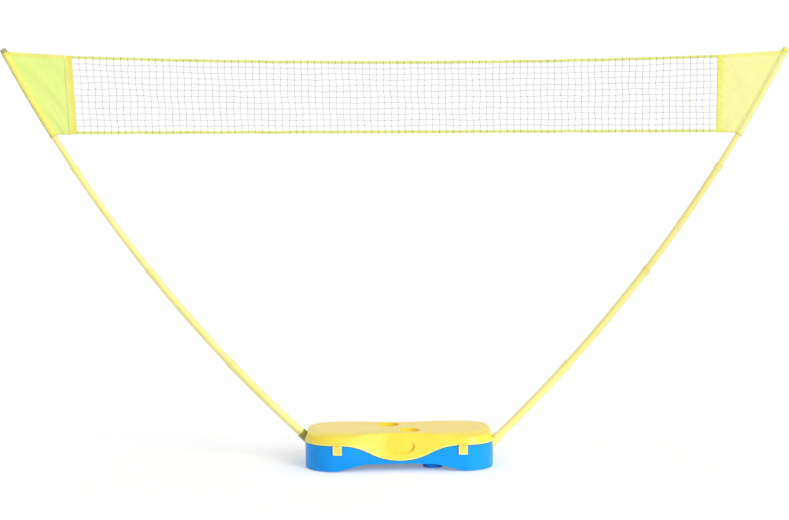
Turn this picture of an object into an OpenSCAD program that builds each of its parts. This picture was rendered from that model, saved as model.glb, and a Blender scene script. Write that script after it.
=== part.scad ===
// Portable net on two telescopic poles that stand in a storage case.
// Origin on the floor under the middle of the case, +X along the net, -Y to the front, +Z up.

/* [Case] */
// Length of the case
case_l = 700; // [600:10:800]
// Width of the case
case_w = 300; // [260:10:340]
// Radius of the case's corners in plan
corner_r = 115; // [90:5:125]
// Height of the closed case
case_h = 137; // [125:1:160]
// Height of the rim where the lid meets the shell
rim_z = 97; // [85:1:105]
// Wall of the lower shell
shell_wall = 3; // [2:0.5:4]
// How far the middle of each long side is drawn in
side_waist = 12; // [5:1:20]
// Length of the dip in the rim, at the front and at the back
dip_l = 450; // [380:10:460]
// Depth of the dip in the rim
dip_depth = 58.5; // [40:0.5:62]
// Height of the arch under the case
arch_h = 27; // [15:1:30]
// Length of the arch where it is full height
arch_top_l = 260; // [200:10:300]
// Length of the arch at the floor
arch_l = 466; // [420:2:480]
// Outer diameter of the two round pockets in the floor
pocket_d = 75; // [70:1:85]
// Distance of each pocket from the middle, along X
pocket_x = 124; // [100:2:140]
// Distance of each pocket from the middle, along Y
pocket_y = 60; // [50:1:70]
// Diameter of a rubber foot pad
pad_d = 28; // [20:1:34]
// Height of a foot pad below the shell
pad_h = 3; // [2:0.5:5]
// Depth of the pad's seat in the shell
pad_seat = 1; // [0.5:0.5:1.5]
// Distance of the pads from the middle, along X
pad_x = 285; // [260:5:300]
// Distance of the pads from the middle, along Y
pad_y = 108; // [104:1:112]

/* [Lid] */
// Wall of the lid
lid_wall = 2.5; // [2:0.5:4]
// How far the edge lip stands out
lip_out = 1.5; // [1:0.5:3]
// Height of the edge lip
lip_h = 5; // [3:0.5:8]
// How far the lid's sides lean in from the rim to the top
side_lean = 6; // [3:1:10]
// How much further the top is drawn in at the waist
scoop_in = 20; // [10:1:30]
// Radius of the lid's top edge
edge_r = 8; // [4:1:12]
// Diameter of the two round wells in the top
well_d = 77; // [60:1:80]
// Depth of the wells
well_depth = 20; // [12:1:26]
// Distance of each well from the middle, along X
well_x = 37; // [34:1:45]
// Distance of each well from the middle, along Y
well_y = 57; // [48:1:58]
// Length of the finger recess in each scoop
recess_l = 107; // [90:1:120]
// Height of the finger recess
recess_h = 52; // [40:1:56]
// Depth of the finger recess
recess_depth = 16; // [10:1:20]
// Diameter of the air hole near one end of the lid
vent_d = 6; // [4:0.5:10]

/* [Hinges and latches] */
// Distance of the hinges from the middle
hinge_x = 230; // [226:1:235]
// Width of a hinge over its knuckles
hinge_w = 39; // [34:1:44]
// Width of the lid's knuckle in a hinge
hinge_mid_w = 18; // [12:1:22]
// Diameter of the hinge knuckles
knuckle_d = 9; // [8:0.5:11]
// Diameter of a hinge pin
hinge_pin_d = 4; // [3:0.5:5]
// Distance of the latches from the middle
latch_x = 230; // [226:1:235]
// Width of a latch
latch_w = 33; // [28:1:38]
// How far a latch hangs below the rim
latch_drop = 34; // [28:1:40]
// Thickness of a latch
latch_t = 3.5; // [3:0.5:5]
// Diameter of the latch knuckles
latch_knuckle_d = 6; // [5:0.5:8]
// Width of the lid's knuckle in a latch
latch_mid_w = 12; // [8:1:14]
// Diameter of a latch pin
latch_pin_d = 2.5; // [2:0.5:3]
// How far the catch on the shell stands out
catch_out = 1.4; // [1:0.1:1.6]

/* [Poles] */
// Distance from the middle to where a pole enters the case, along X
entry_x = 352; // [345:1:360]
// Distance from the middle to where a pole enters the case, along Y
entry_y = 52; // [40:1:75]
// Height at which a pole's centreline enters the case
entry_z = 95; // [90:1:98]
// Radius of the pole's bend
bend_r = 5355; // [4500:5:6000]
// Outer diameter of the thickest section
pole_d = 30; // [28:0.5:32]
// Wall of the tubes
tube_wall = 1; // [0.8:0.1:1.2]
// Gap between one tube and the next, on each side
tube_gap = 0.5; // [0.3:0.05:0.6]
// Length of section 1 above the case
section_1_l = 402; // [380:1:420]
// Length of section 2 that shows
section_2_l = 459; // [440:1:480]
// Length of section 3 that shows
section_3_l = 472; // [450:1:490]
// Length of section 4 that shows
section_4_l = 495; // [470:1:520]
// Length of each tube that stays inside the one below
overlap = 40; // [30:1:60]
// Length of section 1 inside the case
socket_depth = 92; // [80:1:104]
// Length of a section's guide bush
bush_l = 5; // [3:0.5:6]
// Length of a locking collar below the tube's end
collar_l = 24; // [16:1:30]
// Wall of a locking collar
collar_wall = 1; // [0.8:0.1:2]
// Thickness of a collar's end over the tube
collar_end = 2; // [1.5:0.5:3]
// Diameter of the grip dot on a collar
dot_d = 6; // [4:0.5:8]
// How far the grip dot stands out
dot_out = 1.6; // [1:0.1:2.5]
// Length of the tip cap over the tube
cap_l = 14; // [10:1:20]
// Wall of the tip cap
cap_wall = 1.6; // [1:0.1:3]

/* [Sockets] */
// Wall of a pole socket
socket_wall = 3; // [2:0.5:4]
// Thickness of the web under a socket
web_t = 8; // [6:1:12]
// Length of the socket's foot plate
plate_l = 54; // [48:1:58]
// Width of the socket's foot plate
plate_w = 40; // [34:1:46]
// Thickness of the socket's foot plate
plate_t = 4; // [3:0.5:6]
// Diameter of the socket screws
screw_d = 4; // [3:0.5:5]
// Diameter of the socket screws' heads
screw_head_d = 8; // [7:0.5:10]
// Thickness of the cuff round each pole where it leaves the case
cuff_wall = 3.8; // [2.5:0.1:5]
// Length of the cuff outside the case
cuff_out = 24; // [20:1:45]
// Length of the cuff inside the case
cuff_in = 14; // [10:1:20]

/* [Net] */
// Half the length of the mesh between its two seam bands
mesh_half_l = 1189; // [1160:1:1210]
// Width of a seam band
seam_w = 30; // [20:1:40]
// Width of a side panel along its lower edge, from the seam band to the middle of the pole
panel_low_w = 50; // [40:1:80]
// Depth of the net at its middle
net_drop = 266; // [240:1:300]
// How far the net's top edge lies below the tips at the seam bands
end_fall = 22; // [15:1:30]
// How far the top edge sags between the seam bands
net_sag = 22; // [10:1:35]
// Width of the tapes along the net's edges
tape_w = 9; // [6:1:20]
// Thickness of the tapes and seam bands
tape_t = 2.4; // [1.6:0.2:4]
// Thickness of the mesh cords
cord_t = 1.8; // [1.2:0.2:3]
// Number of gaps along the mesh
gaps_long = 50; // [30:1:50]
// Number of gaps down the mesh
gaps_high = 6; // [4:1:6]
// Thickness of the side panels and sleeves
cloth_t = 1.2; // [0.8:0.1:2]
// Length of the sleeve on each pole
sleeve_l = 350; // [320:5:370]
// Height of the soft folds in the side panels
fold_h = 2.5; // [0:0.5:5]

/* [Fits] */
// Gap between the closed lid and the shell
lid_gap = 0.3; // [0.2:0.05:0.5]
// Gap between a pin and its knuckles
pin_gap = 0.05; // [0.03:0.01:0.15]
// Gap between pieces that move past each other
run_gap = 0.4; // [0.3:0.05:0.6]
// Gap between pieces that only sit together
seat_gap = 0.2; // [0.1:0.05:0.3]
// Room round each pole in the lid's notches
notch_gap = 4; // [3:0.5:5]

/* [Hidden] */
$fn = 64;

yellow = "#ffe450";
blue = "#0a8ff0";
pole_yellow = "#f4ee96";
lime = "#e4f283";
cut = 20; // how far a cut runs past a face

// Case, worked out
shell_z0 = pad_h - pad_seat;
floor_z = shell_z0 + shell_wall;
corner_x = case_l / 2 - corner_r;
corner_y = case_w / 2 - corner_r;
side_points = 24;
corner_points = 12;
dip_r = (pow(dip_l / 4, 2) + pow(dip_depth / 2, 2)) / dip_depth;
hinge_y = case_w / 2 + lip_out + knuckle_d / 2 + run_gap;
latch_pin_y = -(case_w / 2 + lip_out + latch_knuckle_d / 2 + run_gap);
latch_pin_z = rim_z + latch_knuckle_d / 2;
hook_z = rim_z - latch_drop;
hook_h = 5;
catch_h = 4;
catch_z = hook_z + hook_h + 1;

// Poles, worked out
deg = 180 / PI;
joint_s = [0, section_1_l, section_1_l + section_2_l, section_1_l + section_2_l + section_3_l,
  section_1_l + section_2_l + section_3_l + section_4_l];
tip_s = joint_s[4];
start_s = [for (k = [0:3]) k == 0 ? -socket_depth : joint_s[k] - overlap];
sleeve_top = tip_s - cap_l - 2;
sleeve_low = sleeve_top - sleeve_l;
seam_x = mesh_half_l + seam_w;
half_turn = sleeve_low / bend_r * deg / 2;
// The net holds the poles apart, so they lean out as far as it needs.
entry_slope = acos((seam_x + panel_low_w - entry_x) / (2 * bend_r * sin(half_turn))) - half_turn;
function tube_r(k) = pole_d / 2 - (k - 1) * (tube_wall + tube_gap);
function slope(s) = entry_slope + s / bend_r * deg;
function reach(s) = bend_r * (sin(slope(s)) - sin(entry_slope));
function rise(s) = bend_r * (cos(entry_slope) - cos(slope(s)));
pole_turn = asin(entry_y / reach(tip_s));
tip_z = entry_z + rise(tip_s);
cuff_r = pole_d / 2 + seat_gap + cuff_wall;
sleeve_r = tube_r(4) + seat_gap + cloth_t;

// Net, worked out
function top_z(x) = tip_z - end_fall - net_sag * (1 - pow(x / seam_x, 2));
net_low = top_z(0) - net_drop;

// Plan of the case: inset all round, and waist more at the middle of the long sides.
function waist(x, depth) = abs(x) < corner_x ? depth * (1 + cos(180 * x / corner_x)) / 2 : 0;
function arc_at(cx, cy, r, a0, a1, n) =
  [for (i = [0:n - 1]) let(a = a0 + (a1 - a0) * i / n) [cx + r * cos(a), cy + r * sin(a)]];
function side_at(y, depth, n) =
  [for (i = [0:n - 1]) let(x = corner_x * (2 * i / n - 1)) [x, y + waist(x, depth)]];
function plan(inset, depth) = let(
    half = concat(
      side_at(inset - case_w / 2, depth, side_points),
      arc_at(corner_x, -corner_y, corner_r - inset, -90, 0, corner_points),
      arc_at(corner_x, corner_y, corner_r - inset, 0, 90, corner_points)))
  concat(half, [for (p = half) -p]);

// Height of the rim at x, with its dip.
function dip(x) = abs(x) >= dip_l / 2 ? 0
  : abs(x) > dip_l / 4 ? dip_r - sqrt(pow(dip_r, 2) - pow(dip_l / 2 - abs(x), 2))
  : dip_depth - dip_r + sqrt(pow(dip_r, 2) - pow(x, 2));
function rim_at(x) = rim_z - dip(x);

// A ring of the lid at share t of the height from the rim to the start of the top edge.
function lid_ring(inset, depth, t, up) =
  [for (p = plan(inset, depth)) let(low = rim_at(p[0]) + lid_gap)
    [p[0], p[1], low + (case_h - edge_r - low) * t + up]];
function flat_ring(inset, depth, z) = [for (p = plan(inset, depth)) [p[0], p[1], z]];

// A closed solid through rings of equal length, from the lowest to the highest.
module through_rings(rings) {
  n = len(rings[0]);
  m = len(rings);
  points = concat([for (r = rings) each r], [[0, 0, rings[0][0][2]], [0, 0, rings[m - 1][0][2]]]);
  sides = [for (j = [0:m - 2]) for (i = [0:n - 1]) let(
      a = j * n + i,
      b = j * n + (i + 1) % n,
      c = b + n,
      d = a + n)
    each [[a, c, b], [a, d, c]]];
  lower = [for (i = [0:n - 1]) [m * n, i, (i + 1) % n]];
  upper = [for (i = [0:n - 1]) let(k = (m - 1) * n) [m * n + 1, k + (i + 1) % n, k + i]];
  polyhedron(points, concat(sides, lower, upper), convexity = 6);
}

// Places of the poles. Right is drawn, and left is the same turned half round.
module side(left) {
  rotate([0, 0, left ? 180 : 0]) children();
}

module pole_plane() {
  translate([entry_x, -entry_y, entry_z]) rotate([0, 0, pole_turn]) children();
}

// Sweeps a profile along the bend from s0 to s1, the lengths along the pole from the case.
module along(s0, s1) {
  pole_plane()
    translate([-bend_r * sin(entry_slope), 0, bend_r * cos(entry_slope)])
      rotate([90, 0, 0])
        rotate([0, 0, slope(s0) - 90])
          rotate_extrude(angle = (s1 - s0) / bend_r * deg, $fn = 720)
            translate([bend_r, 0])
              children();
}

// Puts children on the pole at s, with +Z along it.
module on_pole(s) {
  pole_plane() translate([reach(s), 0, rise(s)]) rotate([0, 90 - slope(s), 0]) children();
}

module ring_2d(r_out, r_in) {
  difference() {
    circle(r_out);
    circle(r_in);
  }
}

module tube(r_out, r_in, l) {
  difference() {
    cylinder(h = l, r = r_out);
    translate([0, 0, -cut]) cylinder(h = l + 2 * cut, r = r_in);
  }
}

// A shape drawn in X and Z, as deep as the case and centred on it.
module across_case() {
  rotate([90, 0, 0]) linear_extrude(case_w + 2 * cut, center = true) children();
}

module at_both(x) {
  for (i = [-1, 1]) translate([i * x, 0, 0]) children();
}

module along_x(l, r) {
  rotate([0, 90, 0]) cylinder(h = l, r = r, center = true);
}

// Case

module rim_dip() {
  n = 30;
  across_case() polygon(concat(
    [for (i = [0:n]) let(x = dip_l * (i / n - 0.5)) [x, rim_at(x)]],
    [[dip_l / 2, rim_z + cut], [-dip_l / 2, rim_z + cut]]));
}

module under_arch(up) {
  across_case() polygon([
    [-arch_l / 2 - up, shell_z0 - cut], [arch_l / 2 + up, shell_z0 - cut], [arch_l / 2 + up, shell_z0 + up],
    [arch_top_l / 2 + up, arch_h + up], [-arch_top_l / 2 - up, arch_h + up], [-arch_l / 2 - up, shell_z0 + up]]);
}

module shell_inside() {
  difference() {
    translate([0, 0, floor_z]) linear_extrude(case_h) polygon(plan(shell_wall, side_waist));
    under_arch(shell_wall);
  }
}

module at_pockets() {
  for (i = [-1, 1]) translate([i * pocket_x, -i * pocket_y, 0]) children();
}

module at_pads() {
  for (i = [-1, 1]) for (j = [-1, 1]) translate([i * pad_x, j * pad_y, 0]) children();
}

module hinge_ears() {
  ear_w = (hinge_w - hinge_mid_w) / 2 - run_gap;
  at_both(hinge_x) for (i = [-1, 1]) translate([i * (hinge_w - ear_w) / 2, 0, 0]) {
    translate([0, hinge_y, rim_z]) along_x(ear_w, knuckle_d / 2);
    translate([-ear_w / 2, case_w / 2 - shell_wall + 1, rim_z - knuckle_d])
      cube([ear_w, hinge_y - case_w / 2 + shell_wall - 1, knuckle_d - 1]);
  }
}

module catches() {
  at_both(latch_x) translate([-latch_w / 2 + 2, -case_w / 2 - catch_out, catch_z])
    cube([latch_w - 4, catch_out + 2, catch_h]);
}

module pole_notch(gap) {
  for (left = [false, true]) side(left) along(-cuff_in - cut, cuff_out + cut) circle(cuff_r + gap);
}

module base_shell() {
  color(blue) difference() {
    union() {
      difference() {
        translate([0, 0, shell_z0]) linear_extrude(rim_z - shell_z0) polygon(plan(0, side_waist));
        rim_dip();
        under_arch(0);
        shell_inside();
      }
      at_pockets() translate([0, 0, shell_z0]) cylinder(h = arch_h + shell_wall - shell_z0, d = pocket_d);
      hinge_ears();
      catches();
    }
    at_pockets() translate([0, 0, floor_z]) cylinder(h = case_h, d = pocket_d - 2 * shell_wall);
    at_pads() translate([0, 0, shell_z0 - cut]) cylinder(h = cut + pad_seat, d = pad_d + 2 * seat_gap);
    at_both(hinge_x) translate([0, hinge_y, rim_z]) along_x(hinge_w + cut, hinge_pin_d / 2 + pin_gap);
    pole_notch(run_gap);
    at_screws() translate([0, 0, -cut]) cylinder(h = 2 * cut, d = screw_d + 2 * pin_gap);
  }
}

module foot_pads() {
  color("#0b5a5e") at_pads() cylinder(h = pad_h, d = pad_d);
}

module hinge_pins() {
  color("silver") at_both(hinge_x) translate([0, hinge_y, rim_z]) along_x(hinge_w + 2, hinge_pin_d / 2);
}

// Sockets

plate_in = -socket_depth * cos(entry_slope) - socket_wall - 2;
socket_top = -cuff_in - 18;

module at_screws() {
  for (left = [false, true]) side(left) pole_plane()
    for (i = [-1, 1]) translate([plate_in + screw_head_d, i * (plate_w / 2 - screw_head_d / 2 - 2), floor_z - entry_z])
      children();
}

module socket(left) {
  bore_r = pole_d / 2 + seat_gap;
  color("#3a3f45") side(left) difference() {
    union() {
      along(-socket_depth - socket_wall, socket_top) circle(bore_r + socket_wall);
      pole_plane() translate([0, web_t / 2, 0]) rotate([90, 0, 0]) linear_extrude(web_t) polygon([
        [plate_in, floor_z - entry_z], [plate_in + plate_l, floor_z - entry_z],
        [reach(socket_top - 6), rise(socket_top - 6)], [reach(-socket_depth), rise(-socket_depth)]]);
      pole_plane() translate([plate_in, -plate_w / 2, floor_z - entry_z]) cube([plate_l, plate_w, plate_t]);
    }
    along(-socket_depth, cut) circle(bore_r);
    pole_plane() for (i = [-1, 1])
      translate([plate_in + screw_head_d, i * (plate_w / 2 - screw_head_d / 2 - 2), floor_z - entry_z - cut])
        cylinder(h = 2 * cut, d = screw_d + 2 * pin_gap);
  }
}

module left_socket() {
  socket(true);
}

module right_socket() {
  socket(false);
}

module socket_screws() {
  head_h = 2.4;
  color("silver") at_screws() {
    translate([0, 0, -shell_wall]) cylinder(h = shell_wall + plate_t, d = screw_d);
    translate([0, 0, plate_t]) cylinder(h = head_h, d = screw_head_d);
  }
}

module cuff(left) {
  color("#b9b44e") side(left) along(-cuff_in, cuff_out) ring_2d(cuff_r, pole_d / 2 + seat_gap);
}

module left_cuff() {
  cuff(true);
}

module right_cuff() {
  cuff(false);
}

// Lid

module lid_outer() {
  top_depth = side_waist + scoop_in;
  through_rings([
    lid_ring(-lip_out, side_waist, 0, 0),
    lid_ring(-lip_out, side_waist, 0, lip_h),
    lid_ring(0, side_waist, 0, lip_h + lip_out),
    lid_ring(side_lean / 2, (side_waist + top_depth) / 2, 0.5, 0),
    lid_ring(side_lean, top_depth, 1, 0),
    flat_ring(side_lean + edge_r * (1 - cos(30)), top_depth, case_h - edge_r * (1 - sin(30))),
    flat_ring(side_lean + edge_r * (1 - cos(60)), top_depth, case_h - edge_r * (1 - sin(60))),
    flat_ring(side_lean + edge_r, top_depth, case_h)]);
}

module lid_inner() {
  top_depth = side_waist + scoop_in;
  through_rings([
    lid_ring(lid_wall, side_waist, 0, -cut),
    lid_ring(lid_wall, side_waist, 0, 0),
    lid_ring(side_lean / 2 + lid_wall, (side_waist + top_depth) / 2, 0.5, 0),
    lid_ring(side_lean + lid_wall, top_depth, 1, 0),
    flat_ring(side_lean + lid_wall + edge_r / 2, top_depth, case_h - lid_wall)]);
}

module at_wells() {
  for (i = [-1, 1]) translate([i * well_x, -i * well_y, case_h]) children();
}

scoop_y = (case_w - 2 * side_waist - side_lean - scoop_in / 2) / 2;
scoop_z = (rim_at(0) + case_h) / 2;
scoop_tilt = atan((side_lean + scoop_in) / (case_h - edge_r - rim_at(0)));

// A round-ended bar that goes square into the scoop at the front and at the back.
module recess_bar(grow, deep, out) {
  for (turn = [0, 180]) rotate([0, 0, turn])
    translate([0, -scoop_y, scoop_z]) rotate([90 - scoop_tilt, 0, 0]) translate([0, 0, -deep]) {
      at_both((recess_l - recess_h) / 2) cylinder(h = deep + out, d = recess_h + 2 * grow);
      translate([-(recess_l - recess_h) / 2, -recess_h / 2 - grow, 0])
        cube([recess_l - recess_h, recess_h + 2 * grow, deep + out]);
    }
}

module lid_knuckles() {
  at_both(hinge_x) {
    translate([0, hinge_y, rim_z]) along_x(hinge_mid_w, knuckle_d / 2);
    translate([-hinge_mid_w / 2, case_w / 2 - side_lean / 2, rim_z + lid_gap])
      cube([hinge_mid_w, hinge_y - case_w / 2 + side_lean / 2, knuckle_d / 2]);
  }
  at_both(latch_x) {
    translate([0, latch_pin_y, latch_pin_z]) along_x(latch_mid_w, latch_knuckle_d / 2);
    translate([-latch_mid_w / 2, latch_pin_y, latch_pin_z - latch_knuckle_d / 2 + lid_gap])
      cube([latch_mid_w, -latch_pin_y - case_w / 2 + side_lean / 2, latch_knuckle_d - 2 * lid_gap]);
  }
}

module lid() {
  color(yellow) difference() {
    union() {
      difference() {
        lid_outer();
        difference() {
          lid_inner();
          at_wells() translate([0, 0, -well_depth - lid_wall]) cylinder(h = well_depth + cut, d = well_d + 2 * lid_wall);
          recess_bar(lid_wall, recess_depth + lid_wall, cut);
        }
      }
      lid_knuckles();
    }
    at_wells() translate([0, 0, -well_depth]) cylinder(h = well_depth + cut, d = well_d);
    recess_bar(0, recess_depth, cut);
    pole_notch(notch_gap);
    at_both(hinge_x) translate([0, hinge_y, rim_z]) along_x(hinge_w + cut, hinge_pin_d / 2 + pin_gap);
    at_both(latch_x) translate([0, latch_pin_y, latch_pin_z]) along_x(latch_w, latch_pin_d / 2 + pin_gap);
    translate([-corner_x - 48, -case_w / 2 + 26, rim_z + cut]) cylinder(h = case_h, d = vent_d);
  }
}

module latch_pins() {
  color("silver") at_both(latch_x) translate([0, latch_pin_y, latch_pin_z]) along_x(latch_w - 1, latch_pin_d / 2);
}

module latch(x) {
  half = latch_w / 2;
  inner_y = -(case_w / 2 + lip_out + run_gap);
  hook_y = -(case_w / 2 + run_gap);
  color(yellow) translate([x, 0, 0]) difference() {
    union() {
      translate([-half, inner_y - latch_t, hook_z]) cube([latch_w, latch_t, latch_pin_z - hook_z]);
      translate([-half, inner_y - latch_t, hook_z]) cube([latch_w, latch_t + hook_y - inner_y, hook_h]);
      translate([0, latch_pin_y, latch_pin_z]) along_x(latch_w, latch_knuckle_d / 2);
    }
    translate([-latch_mid_w / 2 - run_gap, latch_pin_y - cut, rim_z - run_gap])
      cube([latch_mid_w + 2 * run_gap, 2 * cut, latch_drop]);
    translate([0, latch_pin_y, latch_pin_z]) along_x(latch_w + cut, latch_pin_d / 2 + pin_gap);
  }
}

module left_latch() {
  latch(-latch_x);
}

module right_latch() {
  latch(latch_x);
}

// Poles

module section(left, k) {
  color(pole_yellow) side(left)
    along(start_s[k - 1], joint_s[k]) ring_2d(tube_r(k), tube_r(k) - tube_wall);
}

module bush(left, k) {
  color("dimgray") side(left)
    along(start_s[k - 1] - bush_l, start_s[k - 1])
      ring_2d(tube_r(k) + tube_gap - seat_gap, tube_r(k) - tube_wall + seat_gap / 2);
}

// A collar turns on the upper end of section k and grips the next one. dot_at turns its grip dot.
module collar(left, k, dot_at) {
  in_r = tube_r(k) + seat_gap;
  out_r = in_r + collar_wall;
  color("#efe88a") side(left) on_pole(joint_s[k]) {
    difference() {
      translate([0, 0, -collar_l]) cylinder(h = collar_l + seat_gap + collar_end, r = out_r);
      translate([0, 0, -collar_l - cut]) cylinder(h = collar_l + cut + seat_gap, r = in_r);
      cylinder(h = cut, r = tube_r(k + 1) + seat_gap);
    }
    rotate([0, 0, dot_at]) translate([in_r + collar_wall / 2, 0, -collar_l / 2]) rotate([0, 90, 0])
      cylinder(h = collar_wall / 2 + dot_out, d = dot_d);
  }
}

module tip_cap(left) {
  color(left ? "#9a9a6e" : yellow) side(left) on_pole(tip_s) difference() {
    translate([0, 0, -cap_l]) cylinder(h = cap_l + cap_wall, r = tube_r(4) + seat_gap / 2 + cap_wall);
    translate([0, 0, -cap_l - cut]) cylinder(h = cap_l + cut, r = tube_r(4) + seat_gap / 2);
  }
}

left_dot = 150;
right_dot = 30;

module left_section_1() {
  section(true, 1);
}

module left_section_2() {
  section(true, 2);
}

module left_section_3() {
  section(true, 3);
}

module left_section_4() {
  section(true, 4);
}

module right_section_1() {
  section(false, 1);
}

module right_section_2() {
  section(false, 2);
}

module right_section_3() {
  section(false, 3);
}

module right_section_4() {
  section(false, 4);
}

module left_bush_2() {
  bush(true, 2);
}

module left_bush_3() {
  bush(true, 3);
}

module left_bush_4() {
  bush(true, 4);
}

module right_bush_2() {
  bush(false, 2);
}

module right_bush_3() {
  bush(false, 3);
}

module right_bush_4() {
  bush(false, 4);
}

module left_collar_1() {
  collar(true, 1, left_dot);
}

module left_collar_2() {
  collar(true, 2, left_dot);
}

module left_collar_3() {
  collar(true, 3, left_dot);
}

module right_collar_1() {
  collar(false, 1, right_dot);
}

module right_collar_2() {
  collar(false, 2, right_dot);
}

module right_collar_3() {
  collar(false, 3, right_dot);
}

module left_tip_cap() {
  tip_cap(true);
}

module right_tip_cap() {
  tip_cap(false);
}

// Net

module sleeve(left) {
  color(lime) side(left) along(sleeve_low, sleeve_top) ring_2d(sleeve_r, sleeve_r - cloth_t);
}

module left_sleeve() {
  sleeve(true);
}

module right_sleeve() {
  sleeve(false);
}

// A point of the side panel: u from the seam to the sleeve, v from the bottom to the top.
function sleeve_edge(v) = let(
    s = sleeve_low + 1 + (sleeve_l - 2) * v,
    r = sleeve_r + seat_gap,
    out = reach(s) - r * sin(slope(s)))
  [entry_x + out * cos(pole_turn), -entry_y + out * sin(pole_turn), entry_z + rise(s) + r * cos(slope(s))];
function seam_edge(v) = [seam_x, 0, net_low + (top_z(seam_x) - net_low) * v];
function panel_at(u, v) = let(
    p = seam_edge(v) * (1 - u) + sleeve_edge(v) * u,
    soft = fold_h * sin(180 * u) * sin(360 * (2 * v - u)))
  [p[0], p[1] + soft, p[2]];

module side_panel(left) {
  nu = 10;
  nv = 16;
  n = (nu + 1) * (nv + 1);
  function at(i, j, back) = back * n + j * (nu + 1) + i;
  points = [for (back = [0, 1]) for (j = [0:nv]) for (i = [0:nu])
    panel_at(i / nu, j / nv) + [0, (back - 0.5) * cloth_t, 0]];
  faces = concat(
    [for (j = [0:nv - 1]) for (i = [0:nu - 1])
      each [[at(i, j, 0), at(i + 1, j + 1, 0), at(i + 1, j, 0)], [at(i, j, 0), at(i, j + 1, 0), at(i + 1, j + 1, 0)]]],
    [for (j = [0:nv - 1]) for (i = [0:nu - 1])
      each [[at(i, j, 1), at(i + 1, j, 1), at(i + 1, j + 1, 1)], [at(i, j, 1), at(i + 1, j + 1, 1), at(i, j + 1, 1)]]],
    [for (i = [0:nu - 1])
      each [[at(i, 0, 0), at(i + 1, 0, 0), at(i + 1, 0, 1)], [at(i, 0, 0), at(i + 1, 0, 1), at(i, 0, 1)],
        [at(i, nv, 0), at(i + 1, nv, 1), at(i + 1, nv, 0)], [at(i, nv, 0), at(i, nv, 1), at(i + 1, nv, 1)]]],
    [for (j = [0:nv - 1])
      each [[at(0, j, 0), at(0, j + 1, 1), at(0, j + 1, 0)], [at(0, j, 0), at(0, j, 1), at(0, j + 1, 1)],
        [at(nu, j, 0), at(nu, j + 1, 0), at(nu, j + 1, 1)], [at(nu, j, 0), at(nu, j + 1, 1), at(nu, j, 1)]]]);
  color(lime) side(left) polyhedron(points, faces, convexity = 8);
}

module left_side_panel() {
  side_panel(true);
}

module right_side_panel() {
  side_panel(false);
}

// A flat strip of cloth in the net's plane.
module strip(thick) {
  translate([0, thick / 2, 0]) rotate([90, 0, 0]) linear_extrude(thick) children();
}

module seam_band(left) {
  color("#f6d64a") side(left) strip(tape_t) polygon([
    [mesh_half_l, net_low], [seam_x, net_low], [seam_x, top_z(seam_x)], [mesh_half_l, top_z(mesh_half_l)]]);
}

module left_seam_band() {
  seam_band(true);
}

module right_seam_band() {
  seam_band(false);
}

mesh_x = [for (i = [0:gaps_long]) mesh_half_l * (2 * i / gaps_long - 1)];
function mesh_at(i, j) = let(x = mesh_x[i], low = net_low + tape_w)
  [x, low + (top_z(x) - tape_w - low) * j / gaps_high];
function gap_at(i, j) = let(half = cord_t / 2)
  [mesh_at(i, j) + [half, half], mesh_at(i + 1, j) + [-half, half],
    mesh_at(i + 1, j + 1) - [half, half], mesh_at(i, j + 1) + [half, -half]];

module net_mesh() {
  color("dimgray") strip(cord_t) difference() {
    polygon(concat(
      [for (i = [0:gaps_long]) mesh_at(i, 0)],
      [for (i = [gaps_long:-1:0]) mesh_at(i, gaps_high)]));
    for (i = [0:gaps_long - 1]) for (j = [0:gaps_high - 1]) polygon(gap_at(i, j));
  }
}

module top_tape() {
  color("#e8ee5a") strip(tape_t) polygon(concat(
    [for (x = mesh_x) [x, top_z(x) - tape_w]],
    [for (i = [gaps_long:-1:0]) [mesh_x[i], top_z(mesh_x[i])]]));
}

module bottom_tape() {
  color("#e8ee5a") strip(tape_t) polygon([
    [-mesh_half_l, net_low], [mesh_half_l, net_low],
    [mesh_half_l, net_low + tape_w], [-mesh_half_l, net_low + tape_w]]);
}

base_shell();
foot_pads();
hinge_pins();
left_socket();
right_socket();
socket_screws();
left_cuff();
right_cuff();
lid();
latch_pins();
left_latch();
right_latch();
left_section_1();
left_section_2();
left_section_3();
left_section_4();
right_section_1();
right_section_2();
right_section_3();
right_section_4();
left_bush_2();
left_bush_3();
left_bush_4();
right_bush_2();
right_bush_3();
right_bush_4();
left_collar_1();
left_collar_2();
left_collar_3();
right_collar_1();
right_collar_2();
right_collar_3();
left_tip_cap();
right_tip_cap();
left_sleeve();
right_sleeve();
left_side_panel();
right_side_panel();
left_seam_band();
right_seam_band();
net_mesh();
top_tape();
bottom_tape();
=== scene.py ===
"""Portable net on two telescopic poles in a moulded storage case: every piece and its finish."""

import random
from math import (
    acos, asin, atan, atan2, copysign, cos, dist, exp, hypot, pi, radians, sin, sqrt, tau)

import bmesh
import bpy
from mathutils import Matrix, Vector


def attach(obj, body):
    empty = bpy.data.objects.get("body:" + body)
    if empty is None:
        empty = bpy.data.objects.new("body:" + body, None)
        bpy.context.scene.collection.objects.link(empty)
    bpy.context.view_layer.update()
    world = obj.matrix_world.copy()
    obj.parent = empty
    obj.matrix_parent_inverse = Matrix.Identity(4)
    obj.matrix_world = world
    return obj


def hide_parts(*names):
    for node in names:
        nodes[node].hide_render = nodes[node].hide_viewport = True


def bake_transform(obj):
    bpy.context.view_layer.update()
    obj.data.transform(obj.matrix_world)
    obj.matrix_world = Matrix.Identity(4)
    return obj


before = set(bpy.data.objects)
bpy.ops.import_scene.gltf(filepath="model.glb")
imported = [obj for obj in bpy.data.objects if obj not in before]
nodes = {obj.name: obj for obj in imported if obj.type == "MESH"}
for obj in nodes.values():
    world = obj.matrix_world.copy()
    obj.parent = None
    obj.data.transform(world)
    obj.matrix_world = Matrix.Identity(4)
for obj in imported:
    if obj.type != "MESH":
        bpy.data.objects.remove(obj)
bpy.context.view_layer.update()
rng = random.Random(4)

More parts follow.
